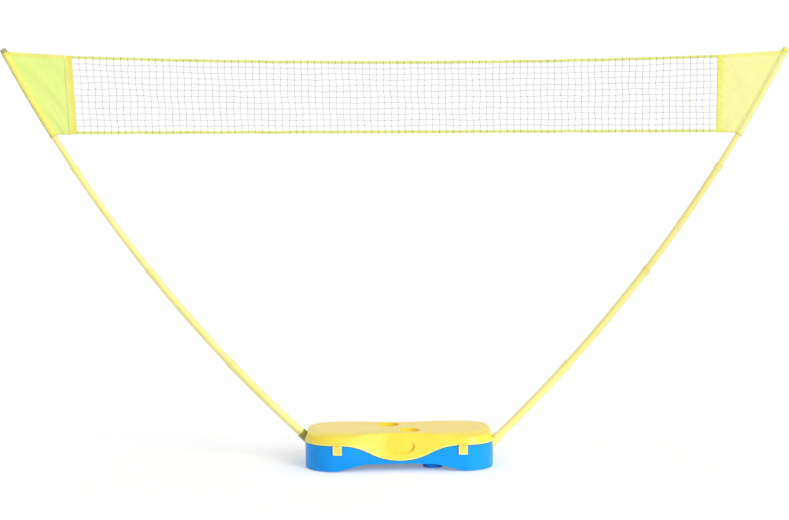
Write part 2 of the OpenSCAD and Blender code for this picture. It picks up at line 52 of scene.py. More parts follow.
# Poles and net, in metres: the same values as the part's source
ENTRY = Vector((0.352, -0.052, 0.095))  # where the right pole leaves the case
BEND_R = 5.355
POLE_R = 0.015
TUBE_STEP = 0.0015  # each tube's radius is this much less than the one below
JOINT_S = (0.0, 0.402, 0.861, 1.333, 1.828)  # from the case to each joint and the tip
MESH_HALF = 1.189
SEAM_W = 0.030
SEAM_X = MESH_HALF + SEAM_W
PANEL_LOW_W = 0.050
SLEEVE_TOP = JOINT_S[4] - 0.016
SLEEVE_LOW = SLEEVE_TOP - 0.350
SLEEVE_R = POLE_R - 3 * TUBE_STEP + 0.0014
END_FALL = 0.022
NET_SAG = 0.022
NET_DROP = 0.266
TAPE_W = 0.011
TUBE_GAP = 0.0002  # air between a tube and what is slipped over it
SIGN = {"left": -1, "right": 1}

half_turn = SLEEVE_LOW / BEND_R / 2
chord = 2 * BEND_R * sin(half_turn)
SLOPE_0 = acos((SEAM_X + PANEL_LOW_W - ENTRY.x) / chord) - half_turn


def slope(s):
    return SLOPE_0 + s / BEND_R


def reach(s):
    return BEND_R * (sin(slope(s)) - sin(SLOPE_0))


def rise(s):
    return BEND_R * (cos(SLOPE_0) - cos(slope(s)))


POLE_TURN = asin(-ENTRY.y / reach(JOINT_S[4]))
TIP_Z = ENTRY.z + rise(JOINT_S[4])


def edge_z(x):
    """Height of the net's top edge at x."""
    return TIP_Z - END_FALL - NET_SAG * (1 - (x / SEAM_X) ** 2)


NET_LOW = edge_z(0) - NET_DROP
END_Z = edge_z(SEAM_X)
NET_H = END_Z - NET_LOW


def tube_r(k):
    return POLE_R - (k - 1) * TUBE_STEP


def pole_at(s, side):
    """Point of a pole's centreline, with the ways along it, sideways and inwards to the net."""
    out = Vector((cos(POLE_TURN), sin(POLE_TURN), 0))
    point = ENTRY + out * reach(s) + Vector((0, 0, rise(s)))
    along = out * cos(slope(s)) + Vector((0, 0, sin(slope(s))))
    inward = -out * sin(slope(s)) + Vector((0, 0, cos(slope(s))))
    if side == "left":
        point, along, inward = (Vector((-v.x, -v.y, v.z)) for v in (point, along, inward))
    return point, along, inward.cross(along), inward


# Materials

COLOUR_A, COLOUR_B = 6, 7  # the colour inputs of a Mix node
WAVE = 0.314  # straight bands of scale 1 repeat after this many metres


def linear(hex_colour):
    """An sRGB hex colour as linear red, green, blue and alpha."""
    parts = [int(hex_colour[i : i + 2], 16) / 255 for i in (1, 3, 5)]
    return tuple(c / 12.92 if c <= 0.04045 else ((c + 0.055) / 1.055) ** 2.4 for c in parts) + (1,)


def add(tree, kind, inputs=None, **settings):
    """Adds one node with its settings, and sets or links its inputs. A Mix node mixes colours.

    A node given to an input is linked by its Fac output, or else by its first output in use, and
    a text is an sRGB hex colour."""
    made = tree.nodes.new("ShaderNode" + kind)
    if kind == "Mix":
        made.data_type = "RGBA"
    for name, value in settings.items():
        setattr(made, name, value)
    for name, value in (inputs or {}).items():
        if isinstance(value, bpy.types.Node):
            value = value.outputs.get("Fac") or next(out for out in value.outputs if out.enabled)
        if isinstance(value, str):
            value = linear(value)
        if isinstance(value, bpy.types.NodeSocket):
            tree.links.new(value, made.inputs[name])
        else:
            made.inputs[name].default_value = value
    return made


def material_of(surface):
    """Makes a function that adds a surface's nodes into one that makes a named material of it."""

    def make(name, *look):
        made = bpy.data.materials.new(name)
        made.use_nodes = True
        made.node_tree.nodes.clear()
        add(made.node_tree, "OutputMaterial", {"Surface": surface(made.node_tree, *look)})
        return made

    return make


@material_of
def moulded_polypropylene(tree, base, deep, pale, rough, shine=0.5):
    """Injection-moulded polypropylene: satin, with a fine spark-eroded grain.

    It has faint flow clouds and pale rub marks, which are duller than the rest."""
    place = add(tree, "TexCoord").outputs["Object"]
    # Flow clouds about 110 mm across
    clouds = add(tree, "TexNoise", {"Vector": place, "Scale": 9.0, "Detail": 3.0})
    tone = add(tree, "MapRange", {"Value": clouds, "From Min": 0.35, "From Max": 0.65})
    body = add(tree, "Mix", {"Factor": tone, COLOUR_A: deep, COLOUR_B: base})
    # Rub marks: long thin noise, 3 mm by 60 mm, only where a slow noise lets them through
    stretched = add(tree, "Mapping", {
        "Vector": place, "Rotation": (0.2, 0.5, 0.6), "Scale": (330.0, 17.0, 60.0)})
    marks = add(tree, "TexNoise", {
        "Vector": stretched, "Scale": 1.0, "Detail": 4.0, "Roughness": 0.6})
    patches = add(tree, "TexNoise", {"Vector": place, "Scale": 22.0, "Detail": 2.0})
    where = add(tree, "Math", {0: marks, 1: patches}, operation="MULTIPLY")
    most = 0.35
    rub = add(tree, "MapRange", {
        "Value": where, "From Min": 0.36, "From Max": 0.50, "To Max": most})
    colour = add(tree, "Mix", {"Factor": rub, COLOUR_A: body, COLOUR_B: pale})
    gloss = add(tree, "MapRange", {
        "Value": rub, "From Max": most, "To Min": rough, "To Max": rough + 0.22})
    # Mould grain, 1.1 mm, drawn coarser than the real 0.3 mm so that it shows, on 20 mm waves
    grain = add(tree, "TexNoise", {"Vector": place, "Scale": 900.0, "Detail": 2.0})
    waves = add(tree, "TexNoise", {"Vector": place, "Scale": 45.0, "Detail": 1.0})
    fine = add(tree, "Bump", {"Height": grain, "Strength": 0.22, "Distance": 0.0004})
    soft = add(tree, "Bump", {
        "Height": waves, "Strength": 0.25, "Distance": 0.0012, "Normal": fine})
    return add(tree, "BsdfPrincipled", {
        "Base Color": colour, "Roughness": gloss, "Normal": soft, "IOR": 1.49,
        "Specular IOR Level": shine})


@material_of
def powder_coated_tube(tree, base, deep):
    """Powder-coated steel tube: satin paint with a light orange peel and slight clouds."""
    place = add(tree, "TexCoord").outputs["Object"]
    # Slow clouds 170 mm across, broken up by dust specks of 7 mm
    clouds = add(tree, "TexNoise", {"Vector": place, "Scale": 6.0, "Detail": 2.0})
    dust = add(tree, "TexNoise", {"Vector": place, "Scale": 140.0, "Detail": 3.0})
    blend = add(tree, "Math", {0: clouds, 1: dust}, operation="MULTIPLY")
    tone = add(tree, "MapRange", {"Value": blend, "From Min": 0.14, "From Max": 0.36})
    colour = add(tree, "Mix", {"Factor": tone, COLOUR_A: deep, COLOUR_B: base})
    # Orange peel about 3 mm from crest to crest
    peel = add(tree, "TexNoise", {"Vector": place, "Scale": 330.0, "Detail": 1.0})
    bump = add(tree, "Bump", {"Height": peel, "Strength": 0.18, "Distance": 0.0005})
    gloss = add(tree, "MapRange", {
        "Value": dust, "From Min": 0.3, "From Max": 0.7, "To Min": 0.30, "To Max": 0.44})
    return add(tree, "BsdfPrincipled", {
        "Base Color": colour, "Roughness": gloss, "Normal": bump, "IOR": 1.5,
        "Coat Weight": 0.15, "Coat Roughness": 0.25})


@material_of
def moulded_rubber(tree, base, deep, rough):
    """Moulded rubber or soft plastic: matt, with a pebbled grain and a little dust on it."""
    place = add(tree, "TexCoord").outputs["Object"]
    # Dust in blots of 17 mm
    dust = add(tree, "TexNoise", {"Vector": place, "Scale": 60.0, "Detail": 4.0})
    tone = add(tree, "MapRange", {"Value": dust, "From Min": 0.35, "From Max": 0.65})
    colour = add(tree, "Mix", {"Factor": tone, COLOUR_A: deep, COLOUR_B: base})
    # Pebbles 1.6 mm across
    pebbles = add(tree, "TexVoronoi", {"Vector": place, "Scale": 620.0})
    bump = add(tree, "Bump", {"Height": pebbles, "Strength": 0.3, "Distance": 0.0004})
    gloss = add(tree, "MapRange", {
        "Value": dust, "From Min": 0.3, "From Max": 0.7,
        "To Min": rough - 0.06, "To Max": rough + 0.08})
    return add(tree, "BsdfPrincipled", {
        "Base Color": colour, "Roughness": gloss, "Normal": bump, "IOR": 1.52})


@material_of
def zinc_plated_steel(tree):
    """Drawn steel with thin zinc plating: bright, with fine draw lines and dull spots."""
    place = add(tree, "TexCoord").outputs["Object"]
    # Draw lines 0.5 mm apart along X
    lines = add(tree, "Mapping", {"Vector": place, "Scale": (40.0, 2000.0, 2000.0)})
    drawn = add(tree, "TexNoise", {"Vector": lines, "Scale": 1.0, "Detail": 2.0})
    # Dull spots 4 mm across
    spots = add(tree, "TexNoise", {"Vector": place, "Scale": 260.0, "Detail": 3.0})
    tone = add(tree, "MapRange", {"Value": spots, "From Min": 0.35, "From Max": 0.7})
    colour = add(tree, "Mix", {"Factor": tone, COLOUR_A: "#a9adb2", COLOUR_B: "#d2d5d8"})
    gloss = add(tree, "MapRange", {
        "Value": spots, "From Min": 0.3, "From Max": 0.7, "To Min": 0.42, "To Max": 0.25})
    bump = add(tree, "Bump", {"Height": drawn, "Strength": 0.15, "Distance": 0.0002})
    return add(tree, "BsdfPrincipled", {
        "Base Color": colour, "Roughness": gloss, "Normal": bump, "Metallic": 1.0})


@material_of
def woven_polyester(tree, base, deep, hem, hem_deep, thread, shade_colour="#a9a34c"):
    """Plain-woven polyester cloth, uncoated: matt with a soft sheen.

    The hem attribute marks where it is folded double, the stitch attribute its seams, and the
    third attribute the side of a sleeve away from the light, where shade is painted in."""
    cloth = add(tree, "UVMap", uv_map="cloth")
    folded, stitched, painted_shade = (
        add(tree, "Attribute", attribute_name=mark, attribute_type="GEOMETRY")
        for mark in ("hem", "stitch", "painted_shade"))
    # Threads are drawn about 2 mm apart, because the real 0.4 mm is too fine to show
    warp, weft = (
        add(tree, "TexWave", {
            "Vector": cloth, "Scale": WAVE / thread, "Distortion": 0.6, "Detail": 1.0,
            "Detail Scale": 3.0}, bands_direction=way)
        for way in ("X", "Y"))
    weave = add(tree, "Math", {0: warp, 1: weft}, operation="MULTIPLY")
    # Uneven dye in clouds of 70 mm
    clouds = add(tree, "TexNoise", {"Vector": cloth, "Scale": 14.0, "Detail": 4.0})
    mixed = add(tree, "Math", {0: weave, 1: 0.30, 2: clouds}, operation="MULTIPLY_ADD")
    tone = add(tree, "MapRange", {"Value": mixed, "From Min": 0.40, "From Max": 0.90})
    plain = add(tree, "Mix", {"Factor": tone, COLOUR_A: deep, COLOUR_B: base})
    double = add(tree, "Mix", {"Factor": tone, COLOUR_A: hem_deep, COLOUR_B: hem})
    colour = add(tree, "Mix", {"Factor": folded, COLOUR_A: plain, COLOUR_B: double})
    # Stitches 7 mm long with 4 mm between them, drawn longer than the real 4 mm so that they show
    dashes = add(tree, "TexWave", {"Vector": cloth, "Scale": 56.0}, bands_direction="DIAGONAL")
    dash = add(tree, "Math", {0: dashes, 1: 0.3}, operation="GREATER_THAN")
    line = add(tree, "MapRange", {"Value": stitched, "From Min": 0.75, "From Max": 0.95})
    sewn = add(tree, "Math", {0: dash, 1: line}, operation="MULTIPLY")
    # The last of these mixes is painted shade, in the shade colour, on a sleeve's side away from
    # the light.
    for factor, over in ((line, hem_deep), (sewn, hem), (painted_shade, shade_colour)):
        colour = add(tree, "Mix", {"Factor": factor, COLOUR_A: colour, COLOUR_B: over})
    fine = add(tree, "Bump", {"Height": weave, "Strength": 0.35, "Distance": 0.0005})
    raised = add(tree, "Bump", {
        "Height": sewn, "Strength": 0.5, "Distance": 0.0006, "Normal": fine})
    return add(tree, "BsdfPrincipled", {
        "Base Color": colour, "Roughness": 0.82, "Normal": raised, "IOR": 1.45,
        "Sheen Weight": 0.25, "Sheen Roughness": 0.5, "Specular IOR Level": 0.3})


@material_of
def laid_cord(tree, base, deep, tied, edge):
    """Twisted polyethylene cord: a dull strand with a faint lay.

    It is darker in the knots, and of bluish cord near the seams."""
    place = add(tree, "TexCoord").outputs["Object"]
    # The lay repeats every 6 mm, and its fluff is 11 mm long
    lay = add(tree, "TexWave", {
        "Vector": place, "Scale": 110.0, "Distortion": 2.0, "Detail": 1.0},
        bands_direction="DIAGONAL")
    fluff = add(tree, "TexNoise", {"Vector": place, "Scale": 90.0, "Detail": 3.0})
    blend = add(tree, "Math", {0: lay, 1: fluff}, operation="MULTIPLY")
    tone = add(tree, "MapRange", {"Value": blend, "From Min": 0.1, "From Max": 0.5})
    colour = add(tree, "Mix", {"Factor": tone, COLOUR_A: deep, COLOUR_B: base})
    for mark, over in (("knot", tied), ("side_cord", edge)):
        marked = add(tree, "Attribute", attribute_name=mark, attribute_type="GEOMETRY")
        colour = add(tree, "Mix", {"Factor": marked, COLOUR_A: colour, COLOUR_B: over})
    bump = add(tree, "Bump", {"Height": lay, "Strength": 0.5, "Distance": 0.0004})
    return add(tree, "BsdfPrincipled", {
        "Base Color": colour, "Roughness": 0.7, "Normal": bump, "IOR": 1.5})


lid_yellow = moulded_polypropylene(
    "yellow_moulded_polypropylene", "#ffe84c", "#fcdf40", "#fff8bc", 0.30)
latch_yellow = moulded_polypropylene(
    "golden_polypropylene_of_the_latches", "#ffe868", "#fbdc58", "#fff6b0", 0.34)
# Painted highlight: this pale yellow on the lid's lower edge and round the latches stands for light
# caught on their edges.
highlight_yellow = moulded_polypropylene(
    "pale_yellow_rubbed_polypropylene", "#fff9a0", "#fdf184", "#fffdd0", 0.34)
shell_blue = moulded_polypropylene(
    "blue_moulded_polypropylene", "#00a2ff", "#0096f2", "#48b8ff", 0.36, 0.28)
# Painted shadow: this dark blue on the shell's rim chamfer stands for the shade under the lid's
# lip.
shadow_blue = moulded_polypropylene(
    "dark_blue_polypropylene_under_the_lid", "#0a5c9c", "#084e88", "#3c86bc", 0.44, 0.2)
pole_paint = powder_coated_tube("pale_yellow_powder_coated_steel", "#fdf79c", "#f5ed8c")
collar_plastic = moulded_polypropylene("pale_yellow_acetal", "#fbf494", "#f2e984", "#fefbcc", 0.36)
cuff_rubber = moulded_rubber("olive_soft_plastic", "#bcb560", "#9d9648", 0.62)
pad_rubber = moulded_rubber("dark_teal_rubber", "#0b5a5e", "#08474b", 0.72)
cap_olive = moulded_rubber("olive_rubber_cap", "#b2b28c", "#96966e", 0.6)
cap_yellow = moulded_rubber("yellow_rubber_cap", "#fff473", "#f5e75c", 0.55)
socket_nylon = moulded_rubber("grey_glass_filled_nylon", "#3a3f45", "#2c3036", 0.5)
bush_acetal = moulded_rubber("dark_grey_acetal", "#696969", "#535353", 0.45)
steel = zinc_plated_steel("zinc_plated_steel")
# Painted light: the left panel's lime is the same cloth as the right's lemon, coloured greener as
# it looks lit from behind.
backlit_lime_cloth = woven_polyester(
    "lime_woven_polyester", "#f3ff98", "#e9fb8c", "#f8fa8c", "#f0f27e", 0.002)
# Its last colour is the painted shade on the right sleeve's outer side.
lemon_cloth = woven_polyester(
    "lemon_woven_polyester", "#ffffb0", "#fcfca2", "#fefe9c", "#f8f888", 0.002, "#e2e09a")
hem_cloth = woven_polyester(
    "yellow_woven_polyester", "#f8f78c", "#efec76", "#f4f27c", "#e6e264", 0.002)
gold_webbing = woven_polyester(
    "golden_polyester_webbing", "#f4fa92", "#ecf584", "#fbf27e", "#f4e96a", 0.0016)
lemon_webbing = woven_polyester(
    "lemon_polyester_webbing", "#fefea6", "#f9f994", "#fbfd80", "#f2f46a", 0.0016)
tape_cloth = woven_polyester(
    "lime_polyester_tape", "#f3f69c", "#e9ee88", "#f0f48e", "#b9bd6c", 0.0016)
net_cord = laid_cord("grey_polyethylene_cord", "#8c8c94", "#66666e", "#4a4a52", "#8484dc")


# Making pieces


def deselect():
    if bpy.context.object and bpy.context.object.mode != "OBJECT":
        bpy.ops.object.mode_set(mode="OBJECT")
    bpy.ops.object.select_all(action="DESELECT")


def take(piece):
    """Selects one piece and makes it active."""
    deselect()
    piece.select_set(True)
    bpy.context.view_layer.objects.active = piece


def put(name, data):
    """Makes an object with this data and puts it in the scene."""
    made = bpy.data.objects.new(name, data)
    bpy.context.scene.collection.objects.link(made)
    return made


def edit(piece, action="DESELECT"):
    """Opens one piece in edit mode, with all or nothing selected."""
    take(piece)
    bpy.ops.object.mode_set(mode="EDIT")
    bpy.ops.mesh.select_all(action=action)


def end_edit():
    """Leaves edit mode with nothing selected."""
    bpy.ops.mesh.select_all(action="DESELECT")
    bpy.ops.object.mode_set(mode="OBJECT")


def pick(piece, wanted, mode="FACE"):
    """In edit mode, selects the faces or edges for which wanted is true, and nothing else."""
    bpy.context.tool_settings.mesh_select_mode = (False, mode == "EDGE", mode == "FACE")
    cage = bmesh.from_edit_mesh(piece.data)
    for part in (cage.verts, cage.edges, cage.faces):
        for item in part:
            item.select = False
    for item in cage.faces if mode == "FACE" else cage.edges:
        if wanted(item):
            item.select = True
    cage.select_flush_mode()
    bmesh.update_edit_mesh(piece.data)


def shift_points(piece, shift):
    """In edit mode, moves each point of a mesh by what shift gives for its place."""
    cage = bmesh.from_edit_mesh(piece.data)
    for vertex in cage.verts:
        vertex.co += shift(vertex.co)
    bmesh.update_edit_mesh(piece.data)


def apply_place():
    bpy.ops.object.transform_apply(location=True, rotation=True, scale=True)


def finish(piece, material):
    """Gives a piece one material."""
    piece.data.materials.clear()
    piece.data.materials.append(material)


def dress(piece, material, body, stood_for):
    """Gives a piece its material, its body and the node it stands for."""
    finish(piece, material)
    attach(piece, body)
    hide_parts(stood_for)


def hang(piece, material, stood_for):
    """Gives a piece of one half of the net its material, bakes its place into its points
    and hides the node it stands for.
    """
    finish(piece, material)
    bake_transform(piece)
    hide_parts(stood_for)


def round_edges(piece, width, segments=2, sharp=30, smooth=40):
    """Rounds the edges above one angle and shades those below the other smooth, in degrees."""
    take(piece)
    bevel = piece.modifiers.new("edges", "BEVEL")
    bevel.width = width
    bevel.segments = segments
    bevel.limit_method = "ANGLE"
    bevel.angle_limit = radians(sharp)
    bpy.ops.object.modifier_apply(modifier="edges")
    bpy.ops.object.shade_smooth_by_angle(angle=radians(smooth))


def finer_copy(node, name, width, reshape):
    """A copy of a moulded node, welded and reshaped, with its sharp edges rounded."""
    piece = put(name, nodes[node].data.copy())
    # Loose triangles become whole faces again
    edit(piece, "SELECT")
    bpy.ops.mesh.remove_doubles(threshold=0.00002)
    bpy.ops.mesh.dissolve_limited(angle_limit=radians(0.4))
    end_edit()
    reshape(piece)
    round_edges(piece, width, sharp=50, smooth=35)
    # Flat faces keep a flat shade beside the rounded edges
    flat = piece.modifiers.new("flat", "WEIGHTED_NORMAL")
    flat.keep_sharp = True
    bpy.ops.object.modifier_apply(modifier="flat")
    return piece


def turned(name, profile, sides=40):
    """A ring: a circle extruded through its profile of radii and heights, back to its start."""
    deselect()
    r0, z0 = profile[0]
    bpy.ops.mesh.primitive_circle_add(vertices=sides, radius=r0, location=(0, 0, 0))
    piece = bpy.context.object
    piece.name = name
    edit(piece, "SELECT")
    bpy.ops.transform.translate(value=(0, 0, z0))
    r_now, z_now = r0, z0
    for r, z in [*profile[1:], profile[0]]:
        bpy.ops.mesh.extrude_edges_move()
        bpy.ops.transform.resize(value=(r / r_now, r / r_now, 1), center_override=(0, 0, z_now))
        bpy.ops.transform.translate(value=(0, 0, z - z_now))
        r_now, z_now = r, z
    bpy.ops.mesh.select_all(action="SELECT")
    bpy.ops.mesh.remove_doubles(threshold=0.00001)
    bpy.ops.mesh.normals_make_consistent(inside=False)
    end_edit()
    return piece


def set_on_pole(piece, s, side):
    """Moves a piece modelled upright at the origin to its place on a pole."""
    point, along, sideways, inward = pole_at(s, side)
    turn = Matrix((inward, sideways, along)).transposed()
    take(piece)
    piece.matrix_world = Matrix.Translation(point) @ turn.to_4x4()
    apply_place()


def mesh_data(name, points, faces, marks):
    """A smooth mesh from points and faces, with one number for each point under each mark."""
    data = bpy.data.meshes.new(name)
    data.from_pydata(points, [], faces)
    for mark, values in marks.items():
        data.attributes.new(mark, "FLOAT", "POINT").data.foreach_set("value", values)
    data.polygons.foreach_set("use_smooth", [True] * len(data.polygons))
    return data


def cloth_piece(name, points, faces, spots, marks):
    """A piece of cloth, with the place of each point on the flat cloth in metres."""
    data = mesh_data(name, points, faces, marks)
    layer = data.uv_layers.new(name="cloth")
    for loop in data.loops:
        layer.data[loop.index].uv = spots[loop.vertex_index]
    piece = put(name, data)
    edit(piece, "SELECT")
    bpy.ops.mesh.normals_make_consistent(inside=False)
    end_edit()
    return piece


def thin_sheet(name, rows, columns, grid, halves, spots, hems, stitches):
    """Cloth with a front, a back and a rim, from a grid of points and half the thickness there."""
    points = [at + Vector((0, way * half, 0)) for way in (-1, 1) for at, half in zip(grid, halves)]
    back = len(grid)

    def number(i, j):
        return j * (columns + 1) + i

    faces = []
    for j in range(rows):
        for i in range(columns):
            a, b, c, d = number(i, j), number(i + 1, j), number(i + 1, j + 1), number(i, j + 1)
            faces += [(a, b, c, d), (back + a, back + d, back + c, back + b)]
    rim = [number(i, 0) for i in range(columns)] + [number(columns, j) for j in range(rows)]
    rim += [number(i, rows) for i in range(columns, 0, -1)]
    rim += [number(0, j) for j in range(rows, 0, -1)]
    faces += [(a, back + a, back + b, b) for a, b in zip(rim, rim[1:] + rim[:1])]
    return cloth_piece(name, points, faces, spots * 2, {"hem": hems * 2, "stitch": stitches * 2})


def ring_faces(low, high, n):
    """Faces between two rings of n points, which start at the points low and high."""
    return [(low + i, low + (i + 1) % n, high + (i + 1) % n, high + i) for i in range(n)]


def runs_along(section):
    """How far each point of a section is from its first, measured along it."""
    runs = [0.0]
    for a, b in zip(section, section[1:]):
        runs.append(runs[-1] + dist(a, b))
    return runs


def ease(share):
    share = max(0.0, min(1.0, share))
    return share * share * (3 - 2 * share)


# Storage case

DIP_L, DIP_DEPTH, RIM_Z, CASE_TOP = 0.450, 0.0585, 0.097, 0.137
DIP_R = ((DIP_L / 4) ** 2 + (DIP_DEPTH / 2) ** 2) / DIP_DEPTH
RECESS_L, RECESS_H, RECESS_DEPTH = 0.107, 0.052, 0.016
RECESS_WALLS = (-0.0170, 0.0010)  # the recess's walls and floor lie between these, outwards
RECESS_BOW = 0.30  # rise of its lower corners, as a share of half its height
BOW_STEP = 0.006  # width of the steps that its lower edge bends in
SCOOP_LIFT = 0.0150  # rise of its floor at the upper left
WAIST_HALF = (0.300 - 2 * 0.012 - 0.006 - 0.020 / 2) / 2  # half the lid's depth, halfway up
LID_TILT = atan((0.006 + 0.020) / (CASE_TOP - 0.008 - RIM_Z + DIP_DEPTH))  # lean of its front
FITTING_X = 0.230  # latches at the front and hinge ears at the back
CORNER_R, CORNER_X, CORNER_Y, WAIST = 0.115, 0.235, 0.035, 0.032  # outline of the lid's top
CROWN_FALL = 0.0095
CROWN_LOW = 0.104  # the lid falls away only above this height
RIM_CUT = 0.0022  # width of the chamfer on the shell's rim
# The lip is painted pale as a highlight.
LIP_H = 0.0056  # height of the pale lip round the lid's lower edge
LATCH_CORNER, LATCH_BORDER, LATCH_SINK = 0.0032, 0.0040, 0.0007
LATCH_GOLD_HALF = 0.012  # half the width of a latch's golden middle
CUFF_WALL, CUFF_LOW, CUFF_TOP = 0.0034, -0.014, 0.024
CUFF_GROOVE, CUFF_GROOVES_Z = 0.0012, (0.003, 0.012)  # depth and heights of its grooves


def rim_at(x):
    """Height of the rim between lid and shell at x."""
    x = abs(x)
    if x >= DIP_L / 2:
        return RIM_Z
    if x > DIP_L / 4:
        return RIM_Z - DIP_R + sqrt(DIP_R**2 - (DIP_L / 2 - x) ** 2)
    return RIM_Z - DIP_DEPTH + DIP_R - sqrt(DIP_R**2 - x**2)


def in_recess(point):
    """Place in a finger recess: along it, up its slope and outwards. None outside it.

    The first two are 1 at the recess's edge, and the third is in metres."""
    turned_over = -1 if point.y > 0 else 1
    x, y = point.x * turned_over, point.y * turned_over + WAIST_HALF
    z = point.z - (rim_at(0) + CASE_TOP) / 2
    up = y * sin(LID_TILT) + z * cos(LID_TILT)
    out = -y * cos(LID_TILT) + z * sin(LID_TILT)
    along, up = x / (RECESS_L / 2), up / (RECESS_H / 2)
    return (along, up, out) if abs(along) < 1.03 and abs(up) < 1.03 else None


def in_recess_walls(point):
    spot = in_recess(point)
    return spot is not None and RECESS_WALLS[0] < spot[2] < RECESS_WALLS[1]


def recess_shift(at, up, out):
    """A shift up the slope of a finger recess and outwards, on the side of the lid that has at."""
    front = 1 if at.y < 0 else -1
    lean, upright = sin(LID_TILT), cos(LID_TILT)
    return Vector((0, front * (up * lean - out * upright), up * upright + out * lean))


def shape_recesses(cover):
    """Bows each finger recess's straight lower edge, then lifts its floor at the upper left."""
    edit(cover)
    for step in range(-4, 5):
        pick(cover, lambda face: all(in_recess_walls(vertex.co) for vertex in face.verts))
        bpy.ops.mesh.bisect(plane_co=(step * BOW_STEP, 0, 0), plane_no=(1, 0, 0))

    def bow(at):
        along, up, _ = in_recess(at) or (0, 0, 0)
        low = up < 0 and in_recess_walls(at)
        return recess_shift(at, -up * RECESS_H / 2 * RECESS_BOW * along**2 if low else 0, 0)

    def scoop(at):
        along, up, out = in_recess(at) or (0, 0, 0)
        on_floor = abs(out + RECESS_DEPTH) < 0.0006
        share = (-0.5 * along + up + 0.8) / 1.6
        return recess_shift(at, 0, SCOOP_LIFT * ease(share) if on_floor else 0)

    shift_points(cover, bow)
    shift_points(cover, scoop)
    end_edit()


def inside_outline(x, y):
    """How far a point of the lid's top lies inside the outline of the case."""
    x, y = abs(x), abs(y)
    if x > CORNER_X and y > CORNER_Y:
        return CORNER_R - hypot(x - CORNER_X, y - CORNER_Y)
    waist = WAIST * (1 + cos(pi * x / CORNER_X)) / 2 if x < CORNER_X else 0.0
    return min(CORNER_X + CORNER_R - x, CORNER_Y + CORNER_R - waist - y)


def crown_lid(cover):
    """Lets the top of the lid fall away softly to its edge round both ends, more to the front."""
    edit(cover)
    # The top is cut into pieces of 14 by 12 mm, which can bend
    cuts = [((way * x / 1000, 0, 0), (1, 0, 0)) for way in (-1, 1) for x in range(100, 345, 14)]
    cuts += [((0, y / 1000, 0), (0, 1, 0)) for y in range(-132, 138, 12)]
    for place, across in cuts:
        pick(cover, lambda face: abs(face.normal.z) > 0.9 and face.calc_center_median().z > 0.131)
        bpy.ops.mesh.bisect(plane_co=place, plane_no=across)

    def fall(at):
        end = ease((abs(at.x) - 0.10) / 0.12)  # whole from 220 mm out
        edge = 1 - ease((inside_outline(at.x, at.y) - 0.008) / 0.040)  # none from 48 mm in
        front = 0.60 - 0.40 * max(-1.0, min(1.0, at.y / 0.08))  # 1 in front and 0.2 behind
        high = ease((at.z - CROWN_LOW) / (CASE_TOP - CROWN_LOW))
        return Vector((0, 0, -CROWN_FALL * end * edge * front * high))

    shift_points(cover, fall)
    end_edit()


def shape_lid(cover):
    shape_recesses(cover)
    crown_lid(cover)


def by_fitting(at, half):
    return abs(abs(at.x) - FITTING_X) < half


def chamfer_rim(shell):
    """Cuts the upper outer edge of the shell back, into a chamfer that is painted dark as the
    shadow under the lid.
    """

    def is_rim(edge):
        """True where a level face meets an upright outer one, except beside the hinge ears."""
        middle = (edge.verts[0].co + edge.verts[1].co) / 2
        by_ear = middle.y > 0 and any(by_fitting(end.co, 0.026) for end in edge.verts)
        on_rim = abs(middle.z - rim_at(middle.x)) < 0.0012
        if by_ear or not on_rim or len(edge.link_faces) != 2:
            return False
        top, side = sorted(edge.link_faces, key=lambda face: -face.normal.z)
        out = side.normal.x * middle.x + side.normal.y * middle.y
        return top.normal.z > 0.6 and abs(side.normal.z) < 0.3 and out > 0.02

    edit(shell)
    pick(shell, is_rim, "EDGE")
    bpy.ops.mesh.bevel(offset=RIM_CUT, segments=1, affect="EDGES")
    end_edit()


def shape_flap(flap):
    """Rounds the lower corners of a latch and sinks its face inside a border."""
    low = min(corner[2] for corner in flap.bound_box)
    ends = [flap.bound_box[0][0], flap.bound_box[6][0]]

    def is_lower_corner(edge):
        a, b = (vertex.co for vertex in edge.verts)
        at_end = min(abs(a.x - end) for end in ends) < 0.0004
        runs_back = abs(a.x - b.x) < 0.0002 and abs(a.y - b.y) > 0.001
        return at_end and runs_back and max(a.z, b.z) < low + 0.0004

    edit(flap)
    pick(flap, is_lower_corner, "EDGE")
    bpy.ops.mesh.bevel(offset=LATCH_CORNER, segments=4, affect="EDGES")
    pick(flap, lambda face: face.normal.y < -0.95 and face.calc_area() > 0.0004)
    bpy.ops.mesh.inset(thickness=LATCH_BORDER, depth=-LATCH_SINK)
    end_edit()


def paint(piece, material, wanted):
    """Gives the faces for which wanted is true a second material."""
    piece.data.materials.append(material)
    for face in piece.data.polygons:
        if wanted(face):
            face.material_index = len(piece.data.materials) - 1


def outward(face):
    return face.normal.x * face.center.x + face.normal.y * face.center.y > 0


